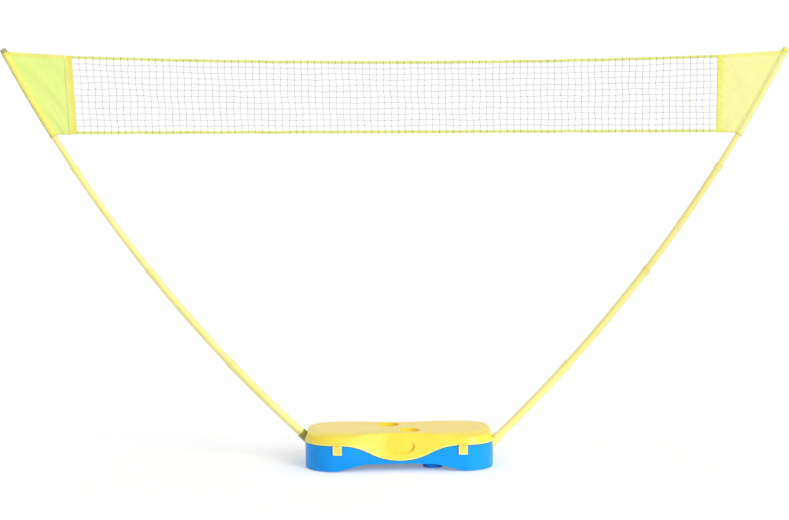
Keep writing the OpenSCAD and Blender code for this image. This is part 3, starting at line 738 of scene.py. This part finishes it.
def make_case():
    """The shell with its rim chamfer painted dark as shadow, the lid with its lower edge painted
    pale as a highlight, and the two latches, whose borders are a painted highlight.
    """
    shell = finer_copy("base_shell", "lower_shell", 0.0007, chamfer_rim)
    dress(shell, shell_blue, "case", "base_shell")

    def is_chamfer(face):
        depth = rim_at(face.center.x) - face.center.z
        return outward(face) and 0.3 < face.normal.z < 0.95 and abs(depth - RIM_CUT / 2) < 0.0012

    # The chamfer is painted dark blue: painted shadow under the lid's lip.
    paint(shell, shadow_blue, is_chamfer)
    cover = finer_copy("lid", "case_lid", 0.0008, shape_lid)
    dress(cover, lid_yellow, "lid", "lid")

    def is_lip(face):
        at = face.center
        by_latch = at.y < 0 and by_fitting(at, 0.018)
        low = at.z < rim_at(at.x) + LIP_H and face.normal.z > -0.7
        return outward(face) and low and in_recess(at) is None and not by_latch

    # The band along the lid's lower edge is painted pale: a painted highlight.
    paint(cover, highlight_yellow, is_lip)
    for side in SIGN:
        flap = finer_copy(f"{side}_latch", f"{side}_latch_flap", 0.0007, shape_flap)
        # The latch is pale outside its golden middle: its border is a painted highlight.
        dress(flap, highlight_yellow, f"{side}_latch", f"{side}_latch")
        foot = flap.bound_box[0][2] + 0.004
        middle = (flap.bound_box[0][0] + flap.bound_box[6][0]) / 2

        def is_golden(face):
            inside = face.center.z > foot and abs(face.center.x - middle) < LATCH_GOLD_HALF
            return face.normal.y < -0.8 and inside

        paint(flap, latch_yellow, is_golden)


def make_cuffs():
    """Soft ribbed cuffs, where the poles leave the case."""
    inner = POLE_R + TUBE_GAP
    outer = inner + CUFF_WALL
    valley = outer - CUFF_GROOVE
    profile = [(inner, CUFF_LOW), (outer, CUFF_LOW)]
    for z in CUFF_GROOVES_Z:
        profile += [(outer, z), (valley, z + 0.0016), (valley, z + 0.0040), (outer, z + 0.0056)]
    profile += [(outer, CUFF_TOP - 0.0015), (outer - 0.0015, CUFF_TOP), (inner, CUFF_TOP)]
    looks = ("left", cuff_rubber, "cuff_olive"), ("right", collar_plastic, "collar_yellow")
    for side, material, slot in looks:
        cuff = turned(f"{side}_pole_cuff", profile)
        round_edges(cuff, 0.0004)
        set_on_pole(cuff, 0, side)
        dress(cuff, material, "case", f"{side}_cuff")


# Poles

COLLAR_SIDES, COLLAR_WALL = 48, 0.001
COLLAR_LOW, COLLAR_TOP = -0.024, 0.0022
FLUTE_Z = (-0.0215, -0.0045)  # heights between which a collar is fluted
DOT_R, DOT_T, DOT_Z = 0.003, 0.0021, -0.012
CAP_WALL, CAP_LOW = 0.0016, -0.014
DOT_TURN = {"left": 150 + 180, "right": 30 + 180}  # away from the net and to the front, in degrees


def cut_flutes(ring, wall):
    """Sinks three of every four sides of a collar a little."""

    def is_flute(face):
        centre = face.calc_center_median()
        step = round(atan2(centre.y, centre.x) / tau * COLLAR_SIDES - 0.5) % 4
        outside = hypot(centre.x, centre.y) > wall - 0.0003
        return outside and FLUTE_Z[0] < centre.z < FLUTE_Z[1] and step != 0

    edit(ring)
    pick(ring, is_flute)
    bpy.ops.mesh.inset(thickness=0.0004, depth=-0.0003)
    end_edit()
    round_edges(ring, 0.00025, segments=1)


def make_grip_dot(wall, side):
    """A round grip dot with a sunk middle, on the wall of a collar."""
    deselect()
    bpy.ops.mesh.primitive_cylinder_add(
        vertices=24, radius=DOT_R, depth=DOT_T, location=(wall + 0.00055, 0, DOT_Z),
        rotation=(0, pi / 2, 0))
    dot = bpy.context.object
    apply_place()
    edit(dot)
    pick(dot, lambda face: face.normal.x > 0.9)
    bpy.ops.mesh.inset(thickness=0.0007, depth=-0.0003)
    end_edit()
    dot.rotation_euler = (0, 0, radians(DOT_TURN[side]))
    apply_place()
    round_edges(dot, 0.0003)
    return dot


def make_collars():
    """Twist collars with grip flutes and a round grip dot."""
    for side in SIGN:
        for k in (1, 2, 3):
            bore, lip = tube_r(k) + TUBE_GAP, tube_r(k + 1) + TUBE_GAP
            wall = bore + COLLAR_WALL
            ring = turned(f"{side}_twist_collar_{k}", [
                (bore, COLLAR_LOW), (wall, COLLAR_LOW), (wall, FLUTE_Z[0]), (wall, FLUTE_Z[1]),
                (wall, -0.0012), (wall, COLLAR_TOP), (lip, COLLAR_TOP), (lip, TUBE_GAP),
                (bore, TUBE_GAP)], COLLAR_SIDES)
            cut_flutes(ring, wall)
            dot = make_grip_dot(wall, side)
            take(ring)
            dot.select_set(True)
            bpy.ops.object.join()
            set_on_pole(ring, JOINT_S[k], side)
            dress(ring, collar_plastic, f"{side}_lock_{k}", f"{side}_collar_{k}")


def make_caps():
    """Soft caps pushed over the tips, with a rounded end and a rolled lower edge."""
    bore = tube_r(4) + 0.0001
    wall = bore + CAP_WALL
    neck = wall - 0.0004
    # The rolled edge, the neck and the round end, closed but for a pinhole on the axis
    profile = [
        (bore, CAP_LOW), (wall - 0.0003, CAP_LOW), (wall, -0.0132), (wall, -0.0110),
        (neck, -0.0102), (neck, -0.0012), (wall - 0.0012, 0.0006), (wall - 0.0036, 0.0014),
        (0.0003, 0.0016), (0.0003, 0.0), (bore, 0.0)]
    for side, material, slot in (
            ("left", cap_olive, "cap_olive"), ("right", cap_yellow, "cap_yellow")):
        cap = turned(f"{side}_end_cap", profile)
        take(cap)
        bpy.ops.object.shade_smooth_by_angle(angle=radians(50))
        set_on_pole(cap, JOINT_S[4], side)
        dress(cap, material, f"{side}_pole_4", f"{side}_tip_cap")


# Cloth and net

SLANT = {"left": 0.016, "right": 0.002}  # how much further out a seam stands above than below
SLEEVE_L = SLEEVE_TOP - SLEEVE_LOW
SLEEVE_HEM = 0.012
FLANGE = 0.0042
FLANGE_TURNS = (42, 318)  # the flange fills the gap between these angles, in degrees
PANEL_HALF = 0.00035  # half the thickness of the cloth
PANEL_TUCK = 0.006  # how far the panel reaches into the seam band
COLUMNS, ROWS = 94, 12
CORD_R, LACE_R, KNOT_R = 0.0005, 0.00062, 0.0015
TAPE_HALF = 0.0012  # half the thickness of an edge tape


def seam_edge_x(side, z, inner):
    """Distance of a seam band's edge from the middle, at height z."""
    share = (z - NET_LOW) / NET_H - 0.5
    return (MESH_HALF if inner else SEAM_X) + SLANT[side] * share


def make_sleeve(side):
    """A sewn cloth tube round the top of a pole, with a flange that takes the side panel."""
    first, last = FLANGE_TURNS
    rings, bore_rings, flange_points = 72, 12, 9
    turns = [radians(first + (last - first) * i / 24) for i in range(25)]
    gap = 360 + first - last
    bore_turns = turns + [
        radians(last + gap * k / (flange_points + 1)) for k in range(1, flange_points + 1)]
    # Painted shade along each sleeve's outer side, away from the net: strong on the left sleeve,
    # which faces away from the light, faint on the right.
    most_painted_shade = 0.85 if side == "left" else 0.35
    points, spots, hems, stitches, painted_shade = [], [], [], [], []
    for j in range(rings + 1):
        share = j / rings
        s = SLEEVE_LOW + SLEEVE_L * share
        point, _, sideways, inward = pole_at(s, side)
        hemmed = min(share, 1 - share) * SLEEVE_L < SLEEVE_HEM
        section = []
        for a in turns:
            pucker = 0.00035 * sin(s * 260 + 3 * a) + 0.00025 * sin(s * 97 - 5 * a)
            r = SLEEVE_R + (0.0004 if hemmed else 0.0) + pucker
            section.append((r * cos(a), r * sin(a)))
        lip = SLEEVE_R + FLANGE + 0.0003 * sin(s * 75)
        after = [
            (SLEEVE_R + 0.0006, -0.0021), (SLEEVE_R + FLANGE * 0.42, -0.0015),
            (SLEEVE_R + FLANGE * 0.62, -0.0015), (lip - 0.0008, -0.0014), (lip, 0.0)]
        section += after + [(a, -b) for a, b in after[-2::-1]]
        for (a, b), run in zip(section, runs_along(section)):
            points.append(point + inward * a + sideways * b)
            spots.append((s, run))
            hems.append(float(hemmed))
            stitches.append(float(FLANGE * 0.4 < a - SLEEVE_R < FLANGE * 0.65))
            painted_shade.append(most_painted_shade * max(0.0, min(1.0, (-a / SLEEVE_R - 0.62) / 0.2)))
    # The inner wall round the pole, from the top down to the first ring
    bore = tube_r(4) + TUBE_GAP
    for j in range(bore_rings, -1, -1):
        s = SLEEVE_LOW + SLEEVE_L * j / bore_rings
        point, _, sideways, inward = pole_at(s, side)
        for a in bore_turns:
            points.append(point + inward * bore * cos(a) + sideways * bore * sin(a))
            spots.append((s, a * bore))
            hems.append(float(j in (0, bore_rings)))
    n = len(bore_turns)
    starts = range(0, len(points), n)
    faces = []
    for low, high in zip(starts, [*starts[1:], 0]):
        faces += ring_faces(low, high, n)
    plain = [0.0] * (len(points) - len(stitches))
    sleeve = cloth_piece(f"{side}_pole_sleeve", points, faces, spots, {
        "hem": hems, "stitch": stitches + plain, "painted_shade": painted_shade + plain})
    material = hem_cloth if side == "left" else lemon_cloth
    dress(sleeve, material, f"{side}_pole_4", f"{side}_sleeve")
    return sleeve


def panel_edges(side, v):
    """The side panel's edges at the seam band and at the sleeve, at a share of its height."""
    z = NET_LOW + NET_H * v
    seam = Vector((SIGN[side] * (seam_edge_x(side, z, False) - PANEL_TUCK), 0, z))
    s = SLEEVE_LOW + 0.001 + (SLEEVE_L - 0.002) * v
    point, _, _, inward = pole_at(s, side)
    return seam, point + inward * (SLEEVE_R + 0.0024)


def make_panel(side):
    """The side panel, one cut of cloth hemmed above and below, in soft folds, and its flat area."""
    across, up = 64, 72
    calm = 1.0 if side == "left" else 0.75
    grid, spots, hems, stitches = [], [], [], []
    for j in range(up + 1):
        v = j / up
        seam, outer = panel_edges(side, v)
        down = (1 - v) * NET_H
        hem = float(down < 0.0145 or v * NET_H < 0.006)
        for i in range(across + 1):
            u = i / across
            at = seam.lerp(outer, u)
            folds = 0.0018 * sin(tau * (2 * v - u))
            folds += 0.0011 * sin(9 * v + 7 * u + 1.3) * v
            folds += 0.0009 * sin(23 * (v - 0.8 * u)) * (1 - u)
            # Pulls that run out from the top corner of the seam
            pull = atan2((1 - v) * 0.29, max(u, 0.001) * 0.22)
            pulls = 0.0010 * sin(14 * pull) * exp(-3.2 * hypot(u, 1 - v))
            soft = sin(pi * u) * (calm * folds + pulls)
            grid.append(at + Vector((0, soft, 0)))
            spots.append((SIGN[side] * at.x, at.z))
            hems.append(hem)
            stitches.append(exp(-(((down - 0.0125) / 0.0016) ** 2)))
    halves = [PANEL_HALF + hem * 0.0005 for hem in hems]
    area = 0.0
    for j in range(up):
        (c, a), (d, b) = panel_edges(side, j / up), panel_edges(side, (j + 1) / up)
        area += ((a - c).cross(b - c).length + (b - c).cross(d - c).length) / 2
    panel = thin_sheet(
        f"{side}_cloth_panel", up, across, grid, halves, spots, hems, stitches)
    # The left panel's lime colour is painted backlight on the lemon cloth.
    material = backlit_lime_cloth if side == "left" else lemon_cloth
    dress(panel, material, f"{side}_pole_4", f"{side}_side_panel")
    return panel, area


def make_seam_band(side):
    """Folded webbing over the joint of cloth and mesh, with a doubled square at the top."""
    across, up = 10, 64
    grid, halves, spots, hems, stitches = [], [], [], [], []
    for j in range(up + 1):
        v = j / up
        z = NET_LOW + NET_H * v
        inner, outer = seam_edge_x(side, z, True), seam_edge_x(side, z, False)
        for i in range(across + 1):
            u = i / across
            x = inner + (outer - inner) * u
            wave = 0.0007 * sin(v * 21) * sin(pi * u) + 0.0005 * sin(v * 57 + u * 3)
            ragged = 0.0004 * sin(v * 90) if i in (0, across) else 0.0
            height = edge_z(x) if j == up else z
            grid.append(Vector((SIGN[side] * (x + ragged), wave, height)))
            spots.append((SIGN[side] * x, z))
            if v > 0.93 and u < 0.75:
                hem = 1.0
            elif v < 0.05:
                hem = 0.8
            else:
                hem = max(0.0, min(1.0, (0.62 - u) / 0.3))
            hems.append(hem)
            stitches.append(float(i == 1))
            half = 0.0009 if i == 0 else 0.0004 if i == across else 0.0012
            halves.append(half + (0.0003 if hem == 1.0 and i < across else 0.0))
    band = thin_sheet(
        f"{side}_seam_webbing", up, across, grid, halves, spots, hems, stitches)
    material = gold_webbing if side == "left" else lemon_webbing
    hang(band, material, f"{side}_seam_band")
    return band


def jitter(x, y, z):
    """A small random shift, at most this far each way."""
    return Vector((rng.uniform(-1, 1) * x, rng.uniform(-1, 1) * y, rng.uniform(-1, 1) * z))


def make_mesh_plan():
    """The knots of the net, [column][row], with the small unevenness of hand-tied mesh."""
    knots = []
    edge_row = 0.0694  # share of the height that the first and the last row take
    for i in range(COLUMNS + 1):
        u = i / COLUMNS
        column = []
        for j in range(ROWS + 1):
            v = edge_row + (1 - 2 * edge_row) * (j - 1) / (ROWS - 2)
            if j in (0, ROWS):
                v = j / ROWS
            low = NET_LOW + TAPE_W
            left_x = -seam_edge_x("left", low + v * 0.25, True)
            right_x = seam_edge_x("right", low + v * 0.25, True)
            x = left_x + (right_x - left_x) * u
            knot = Vector((x, 0, low + (edge_z(x) - TAPE_W - low) * v))
            uneven = jitter(0.0013, 0.0012, 0.0013)
            if 0 < i < COLUMNS and 0 < j < ROWS:
                drift_x, drift_z = sin(j * 0.9 + i * 0.35), sin(i * 0.5 + j * 0.7)
                knot += uneven + Vector((0.0016 * drift_x, 0, 0.0012 * drift_z))
            column.append(knot)
        knots.append(column)
    return knots


def add_cord(points, faces, path, radius):
    """A four-sided cord along a path."""
    start = len(points)
    for k, at in enumerate(path):
        along = (path[min(k + 1, len(path) - 1)] - path[max(k - 1, 0)]).normalized()
        one = along.cross(Vector((0, 1, 0))).normalized()
        two = along.cross(one)
        for a in range(4):
            turn = pi / 4 + a * pi / 2
            points.append(at + one * radius * cos(turn) + two * radius * sin(turn))
    last = len(points) - 4
    for low in range(start, last, 4):
        faces += ring_faces(low, low + 4, 4)
    faces.append(tuple(range(start + 3, start - 1, -1)))
    faces.append(tuple(range(last, last + 4)))


def add_knot(points, faces, at, size):
    """A small tied knot: a squashed six-sided lump, turned a little."""
    start = len(points)
    turn = rng.uniform(0, 0.8)
    points.append(at + Vector((0, 0, size)))
    for z, twist in ((0.45, 0), (-0.45, 0.5)):
        for a in range(6):
            angle = turn + a * pi / 3 + twist
            x, y = cos(angle), 0.8 * sin(angle)
            points.append(at + Vector((size * x, size * y, size * z)))
    points.append(at - Vector((0, 0, size)))
    upper, lower, foot = start + 1, start + 7, start + 13
    for a in range(6):
        b = (a + 1) % 6
        faces.append((start, upper + a, upper + b))
        faces.append((upper + a, lower + a, lower + b, upper + b))
        faces.append((foot, lower + b, lower + a))


def make_net(side, knots):
    """One half of the knotted mesh, its cords laced round the tapes."""
    half = COLUMNS // 2
    columns = range(1, half + 1) if side == "left" else range(half + 1, COLUMNS)
    span = range(0, half + 1) if side == "left" else range(half, COLUMNS + 1)
    points, faces, knotted, by_seam = [], [], [], []

    def bowed(a, b):
        return (a + b) / 2 + jitter(0.0008, 0.0006, 0.0008)

    def mark(knot, edge):
        """Marks the points added since the last call."""
        fresh = len(points) - len(knotted)
        knotted.extend([knot] * fresh)
        by_seam.extend([edge] * fresh)

    for i in columns:
        near_seam = 1.0 if i < 2 or i > COLUMNS - 3 else 0.0
        path = [knots[i][0]]
        for j in range(ROWS):
            path += [bowed(knots[i][j], knots[i][j + 1]), knots[i][j + 1]]
        add_cord(points, faces, path, CORD_R)
        mark(0.0, near_seam)
        for j in range(1, ROWS):
            add_knot(points, faces, knots[i][j], KNOT_R)
        mark(1.0, 0.5 * near_seam)
        # The lacing: a turn round the tape at each column
        for j, way in ((0, -1), (ROWS, 1)):
            middle = knots[i][j] + Vector((0, 0, way * TAPE_W / 2))
            loop = []
            for a in range(9):
                angle = tau * a / 8
                high = -way * (TAPE_W / 2 + 0.0004) * cos(angle)
                turn = 0.0012 * sin(angle / 2), 0.0019 * sin(angle), high
                loop.append(middle + Vector(turn))
            add_cord(points, faces, loop, LACE_R)
    for j in range(1, ROWS):
        path = []
        for i in span:
            if path:
                path.append(bowed(path[-1], knots[i][j]))
            path.append(knots[i][j])
        add_cord(points, faces, path, CORD_R)
    mark(0.0, 0.0)
    data = mesh_data(f"{side}_net_mesh", points, faces, {"knot": knotted, "side_cord": by_seam})
    net = put(f"{side}_knotted_mesh", data)
    hang(net, net_cord, "net_mesh")


def make_tape(side, upper):
    """Half of an edge tape: cloth folded over a line, with a row of stitches and a slight wave."""
    steps = 190
    section = []
    for a in range(12):
        c, s = cos(tau * a / 12), sin(tau * a / 12)
        flat = copysign(abs(c) ** 0.6, c) * (TAPE_W / 2 - 0.0004)
        section.append((flat, copysign(abs(s) ** 0.8, s) * TAPE_HALF))
    end = seam_edge_x(side, END_Z if upper else NET_LOW, True) + 0.002
    points, spots, stitches = [], [], []
    for k in range(steps + 1):
        x = SIGN[side] * end * k / steps
        fade = sin(pi * k / steps)
        z = edge_z(x) - TAPE_W / 2 if upper else NET_LOW + TAPE_W / 2
        z += 0.0006 * sin(x * 31) * fade
        roll = 0.25 * sin(x * 19 + 1) * fade
        wave = 0.0007 * sin(x * 47) * fade
        for (a, b), run in zip(section, runs_along(section)):
            up = a * cos(roll) - b * sin(roll)
            out = a * sin(roll) + b * cos(roll)
            points.append(Vector((x, wave + out, z + up)))
            spots.append((x, run))
            stitches.append(float(abs(a) < TAPE_W * 0.12))
    n = len(section)
    faces = []
    for k in range(steps):
        faces += ring_faces(k * n, (k + 1) * n, n)
    faces += [tuple(range(n)), tuple(range(len(points) - 1, len(points) - 1 - n, -1))]
    name = "top" if upper else "bottom"
    tape = cloth_piece(f"{side}_{name}_tape", points, faces, spots, {
        "hem": [0.0] * len(points), "stitch": stitches})
    hang(tape, tape_cloth, f"{name}_tape")


# Room, light and camera

FLOOR_GLOW = 0.240  # keeps the floor white for the camera and in glossy surfaces
WORLD_LIGHT = 0.632
CAMERA_AT, YAW, PITCH, ROLL = (-0.1475, -5.0, 1.086), 0.0266, -0.0638, -0.0041


def seen_paths(tree):
    """Light Path, with a value of 1 for rays of the camera and of glossy surfaces."""
    paths = add(tree, "LightPath")
    seen = {0: paths.outputs["Is Camera Ray"], 1: paths.outputs["Is Glossy Ray"]}
    return paths, add(tree, "Math", seen, operation="MAXIMUM")


@material_of
def studio_paper(tree):
    """Matt white paper that keeps the object's shadow, and is lit evenly for what looks at it."""
    _, seen = seen_paths(tree)
    glow = add(tree, "Math", {0: seen, 1: FLOOR_GLOW}, operation="MULTIPLY")
    shade = add(tree, "BsdfDiffuse", {"Color": (0.92, 0.92, 0.92, 1), "Roughness": 0.0})
    light = add(tree, "Emission", {"Color": (1, 1, 1, 1), "Strength": glow})
    return add(tree, "AddShader", {0: shade, 1: light})


def make_floor():
    deselect()
    bpy.ops.mesh.primitive_plane_add(size=240, location=(0, 0, -0.0005))
    floor = bpy.context.object
    floor.name = "studio_floor"
    finish(floor, studio_paper("white_studio_paper"))


def make_world():
    """An even white world, dimmer as a light than as a background."""
    world = bpy.data.worlds.new("studio")
    world.use_nodes = True
    bpy.context.scene.world = world
    tree = world.node_tree
    tree.nodes.clear()
    paths, seen = seen_paths(tree)
    through = {0: seen, 1: paths.outputs["Is Transmission Ray"]}
    clear = add(tree, "Math", through, operation="MAXIMUM")
    strength = add(tree, "MapRange", {"Value": clear, "To Min": WORLD_LIGHT})
    back = add(tree, "Background", {"Color": (1, 1, 1, 1), "Strength": strength})
    add(tree, "OutputWorld", {"Surface": back})


def add_lamp(name, kind, energy, toward, **settings):
    """Adds a lamp that shines in the direction toward."""
    lamp = bpy.data.lights.new(name, kind)
    lamp.energy = energy
    for setting, value in settings.items():
        setattr(lamp, setting, value)
    light = put(name, lamp)
    light.rotation_euler = Vector(toward).to_track_quat("-Z", "Y").to_euler()
    return light


def make_lights():
    """A soft key light from the right, a weaker one from the side and a low wide spot."""
    add_lamp("key", "SUN", 1.0, (-0.62, 0.80, -0.58), angle=radians(28))
    add_lamp("side", "SUN", 0.36, (-3.4, 3.6, -1.5), angle=radians(27))
    low, case_front = Vector((1.9, -2.1, 0.55)), Vector((0.33, -0.1, 0.06))
    spot = add_lamp(
        "low_side", "SPOT", 60, case_front - low, shadow_soft_size=0.35,
        spot_size=radians(24), spot_blend=1.0)
    spot.location = low


def make_camera():
    """A camera in front of the net and a little below it, which looks slightly down."""
    data = bpy.data.cameras.new("camera")
    data.sensor_width = 36
    data.lens = 61.33
    data.clip_end = 200
    camera = put("camera", data)
    level = cos(PITCH)
    forward = Vector((sin(YAW) * level, cos(YAW) * level, sin(PITCH)))
    right = Vector((cos(YAW), -sin(YAW), 0))
    up = right.cross(forward)
    across = right * cos(ROLL) + up * sin(ROLL)
    top = -right * sin(ROLL) + up * cos(ROLL)
    turn = Matrix((across, top, -forward)).transposed()
    camera.matrix_world = Matrix.Translation(CAMERA_AT) @ turn.to_4x4()
    bpy.context.scene.camera = camera
    bpy.context.scene.view_settings.view_transform = "Standard"


make_floor()
make_world()
make_lights()
make_camera()
make_case()
make_cuffs()
make_collars()
make_caps()
knots = make_mesh_plan()
for side in SIGN:
    make_net(side, knots)
    make_tape(side, True)
    make_tape(side, False)
    band = make_seam_band(side)
    sleeve = make_sleeve(side)
    panel, area = make_panel(side)

finishes = {
    "foot_pads": pad_rubber, "hinge_pins": steel, "latch_pins": steel, "socket_screws": steel}
for side in SIGN:
    finishes[f"{side}_socket"] = socket_nylon
    for k in (1, 2, 3, 4):
        finishes[f"{side}_section_{k}"] = pole_paint
    for k in (2, 3, 4):
        finishes[f"{side}_bush_{k}"] = bush_acetal
for name, material in finishes.items():
    finish(nodes[name], material)
deselect()
